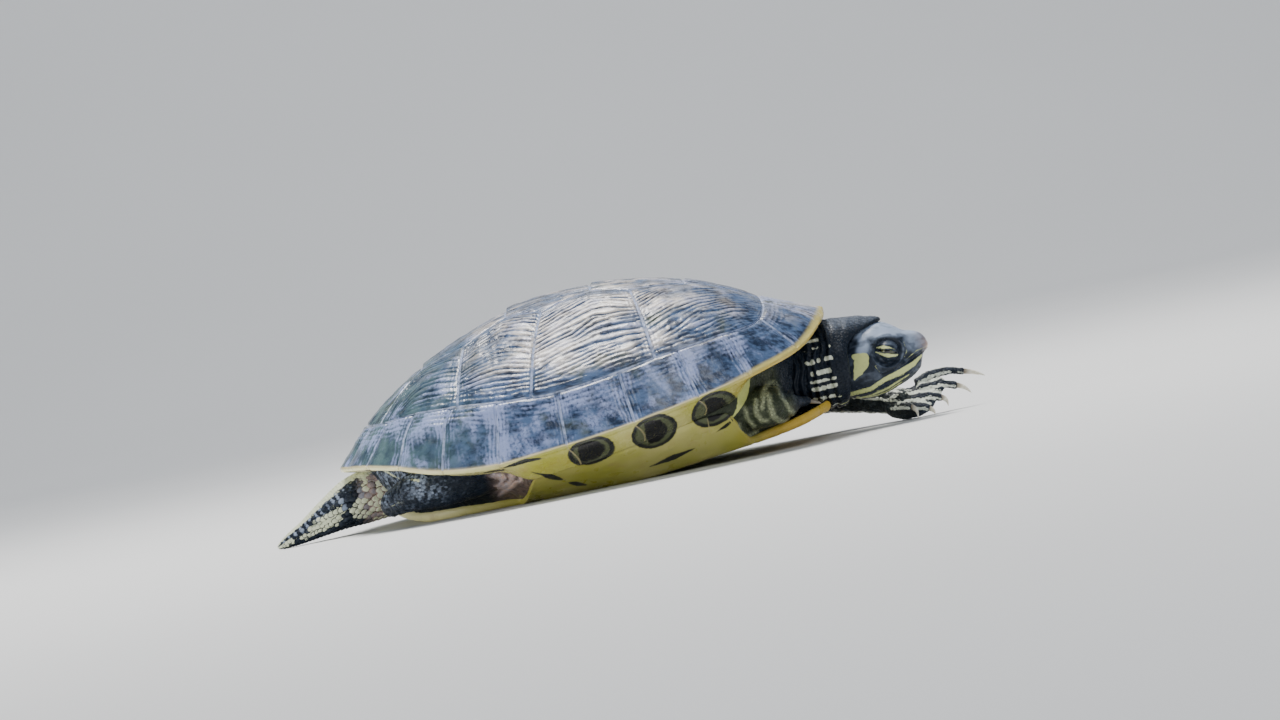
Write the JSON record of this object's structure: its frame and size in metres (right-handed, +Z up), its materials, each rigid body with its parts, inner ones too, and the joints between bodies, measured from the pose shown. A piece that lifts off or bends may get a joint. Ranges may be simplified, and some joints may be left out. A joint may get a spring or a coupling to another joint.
{
  "type": "yellow-bellied slider turtle",
  "caption": "Still life-size model of a yellow-bellied slider turtle at rest on its belly, head forward, left foreleg reaching ahead, the other legs folded into the shell.",
  "frame": {"origin": "middle of the animal's length and width, on the floor it lies on", "axes": "+X the way the turtle faces, +Y its left side, +Z up"},
  "size_m": [0.2762, 0.144, 0.0748],
  "materials": {
    "shell": "dark slate horn scutes, worn pale along growth ridges, with a wet gloss",
    "belly": "smooth mustard yellow horn with dark blotches",
    "skin": "fine scaly dark skin with thin pale yellow stripes",
    "tail": "scaly skin, pale with dark stripes",
    "eye": "wet gloss",
    "claw": "smooth pale horn"
  },
  "bodies": {
    "root": {"carapace": "shell", "plastron": "belly", "trunk": "skin", "neck": "skin", "head": "skin", "jaw": "skin", "eye_left": "eye", "eye_right": "eye", "foreleg_left": "skin", "forefoot_left": "skin", "foreleg_right": "skin", "forefoot_right": "skin", "hindleg_left": "skin", "hindfoot_left": "skin", "hindleg_right": "skin", "hindfoot_right": "skin", "tail": "tail", "forefoot_left_claw_1": "claw", "forefoot_left_claw_2": "claw", "forefoot_left_claw_3": "claw", "forefoot_left_claw_4": "claw", "forefoot_left_claw_5": "claw", "forefoot_right_claw_1": "claw", "forefoot_right_claw_2": "claw", "forefoot_right_claw_3": "claw", "forefoot_right_claw_4": "claw", "forefoot_right_claw_5": "claw", "hindfoot_left_claw_1": "claw", "hindfoot_left_claw_2": "claw", "hindfoot_left_claw_3": "claw", "hindfoot_left_claw_4": "claw", "hindfoot_right_claw_1": "claw", "hindfoot_right_claw_2": "claw", "hindfoot_right_claw_3": "claw", "hindfoot_right_claw_4": "claw"}
  },
  "joints": []
}
